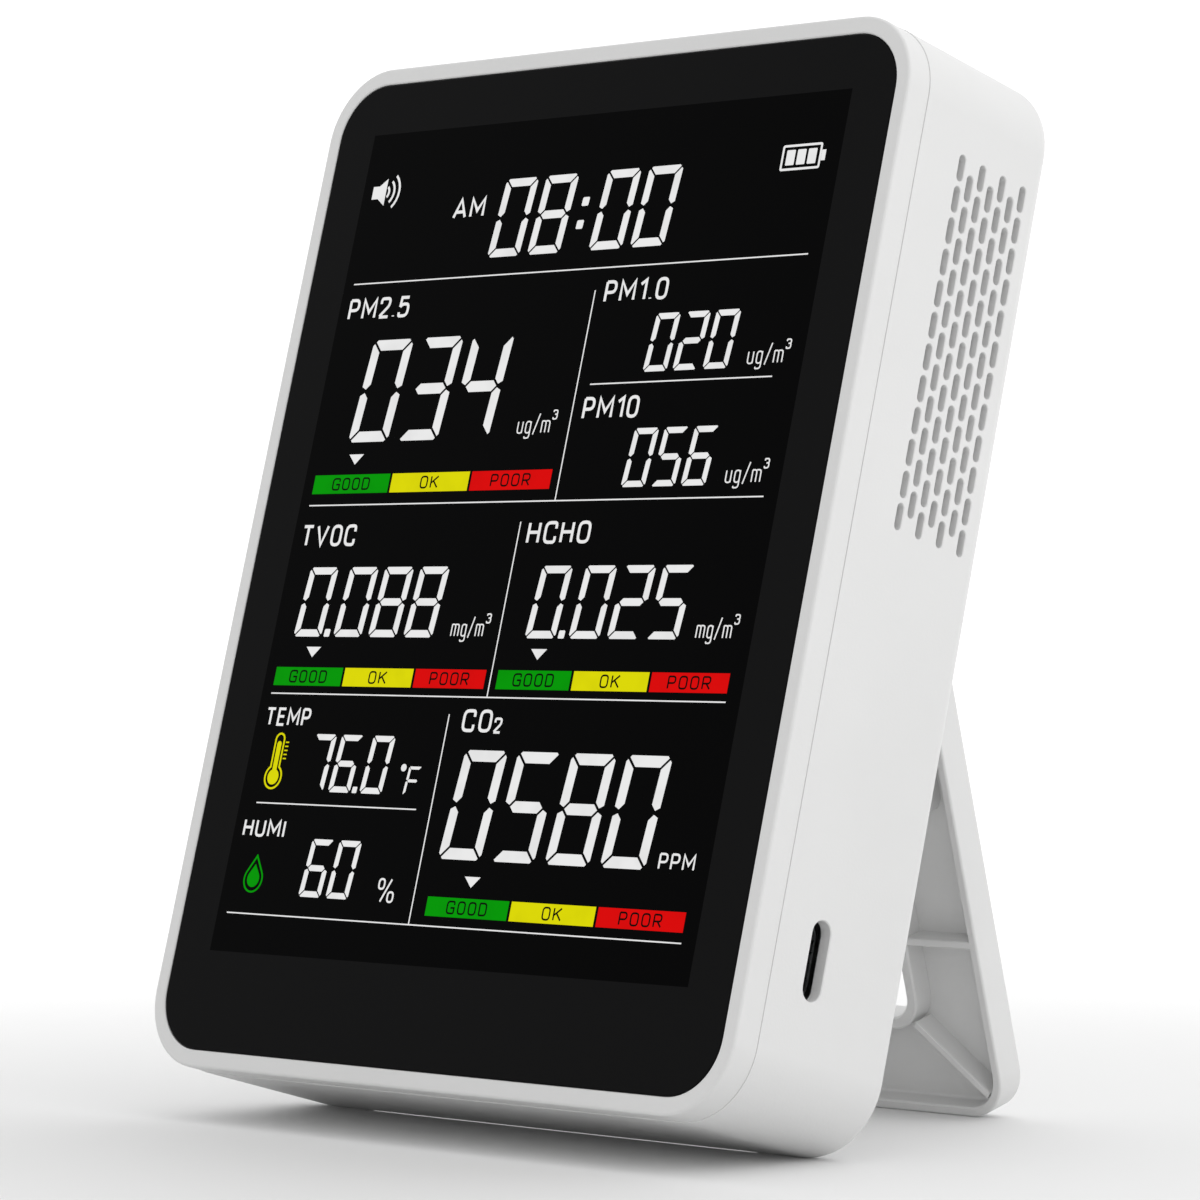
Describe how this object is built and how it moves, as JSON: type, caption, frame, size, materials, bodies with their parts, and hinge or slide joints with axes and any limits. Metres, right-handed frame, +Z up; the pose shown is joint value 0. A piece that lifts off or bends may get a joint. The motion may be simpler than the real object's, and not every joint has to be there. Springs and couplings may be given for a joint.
{
  "type": "air quality monitor",
  "caption": "Upright desktop air quality monitor with a rounded white case, a glass front over a segment display, vented sides, a side power inlet and a folding rear kickstand.",
  "frame": {"origin": "bottom centre of the bounding box, on the table that the case and its open stand rest on", "axes": "+Z up, the glass front faces -Y and leans back 15.3 degrees, +X to the right seen from the front"},
  "size_m": [0.1046, 0.0796, 0.1408],
  "materials": {
    "shell_white": "moulded ABS with a fine satin texture",
    "cover_glass": "polished glass, printed black behind the border",
    "lcd_cell": "dark segment LCD glass",
    "light_film": "milky white, semi-gloss",
    "flex_amber": "polyimide film",
    "connector_ivory": "moulded connector plastic",
    "board_green": "solder resist over glass fibre",
    "plastic_black": "matte moulded",
    "steel": "bright zinc plate",
    "sensor_gold": "gold flash",
    "sensor_blue": "moulded module case",
    "felt_grey": "non-woven dust mesh",
    "foam_black": "closed-cell foam with adhesive faces",
    "battery_blue": "shrink film over a pouch cell",
    "lead_red": "silicone insulation"
  },
  "bodies": {
    "case": {"front_frame": "shell_white", "front_glass": "cover_glass", "glass_adhesive": "foam_black", "lcd_panel": "lcd_cell", "backlight_guide": "light_film", "lcd_holder": "light_film", "lcd_flex": "flex_amber", "flex_connector": "connector_ivory", "main_board": "board_green", "main_processor": "plastic_black", "climate_sensor": "plastic_black", "usb_c_shell": "steel", "usb_c_tongue": "plastic_black", "buzzer": "plastic_black", "co2_sensor": "sensor_gold", "co2_filter": "felt_grey", "gas_sensor": "steel", "formaldehyde_sensor": "plastic_black", "dust_sensor_case": "sensor_blue", "dust_sensor_lid": "steel", "dust_fan_axle": "steel", "dust_laser": "sensor_gold", "battery": "battery_blue", "battery_pad": "foam_black", "battery_plug": "connector_ivory", "battery_lead": "lead_red", "button_board": "board_green", "rear_housing": "shell_white", "vent_mesh_left": "felt_grey", "vent_mesh_right": "felt_grey", "hinge_pin_left": "steel", "hinge_pin_right": "steel", "button_board_screw_left": "steel", "button_board_screw_right": "steel", "board_screw_1": "steel", "housing_screw_1": "steel", "board_screw_2": "steel", "housing_screw_2": "steel", "board_screw_3": "steel", "housing_screw_3": "steel", "board_screw_4": "steel", "housing_screw_4": "steel", "switch_power": "plastic_black", "switch_menu": "plastic_black", "switch_down": "plastic_black", "switch_up": "plastic_black"},
    "kickstand": {"kickstand": "shell_white"},
    "fan": {"dust_fan_rotor": "plastic_black"},
    "key_power": {"button_power": "shell_white"},
    "key_menu": {"button_menu": "shell_white"},
    "key_down": {"button_down": "shell_white"},
    "key_up": {"button_up": "shell_white"}
  },
  "joints": [
    {"name": "kickstand_hinge", "type": "hinge", "parent": "case", "child": "kickstand", "pos_m": [0, 0.01306, 0.09054], "axis": [-1, 0, 0], "range_deg": [0, 30.5]},
    {"name": "fan_spin", "type": "hinge", "parent": "case", "child": "fan", "pos_m": [0.022, -0.00097, 0.08908], "axis": [0, 0.9647, -0.2632], "continuous": true},
    {"name": "power_press", "type": "slide", "parent": "case", "child": "key_power", "axis": [0, -0.2632, -0.9647], "range_m": [0, 0.0004], "stiffness_N_per_m": 1500},
    {"name": "menu_press", "type": "slide", "parent": "case", "child": "key_menu", "axis": [0, -0.2632, -0.9647], "range_m": [0, 0.0004], "stiffness_N_per_m": 1500},
    {"name": "down_press", "type": "slide", "parent": "case", "child": "key_down", "axis": [0, -0.2632, -0.9647], "range_m": [0, 0.0004], "stiffness_N_per_m": 1500},
    {"name": "up_press", "type": "slide", "parent": "case", "child": "key_up", "axis": [0, -0.2632, -0.9647], "range_m": [0, 0.0004], "stiffness_N_per_m": 1500}
  ]
}
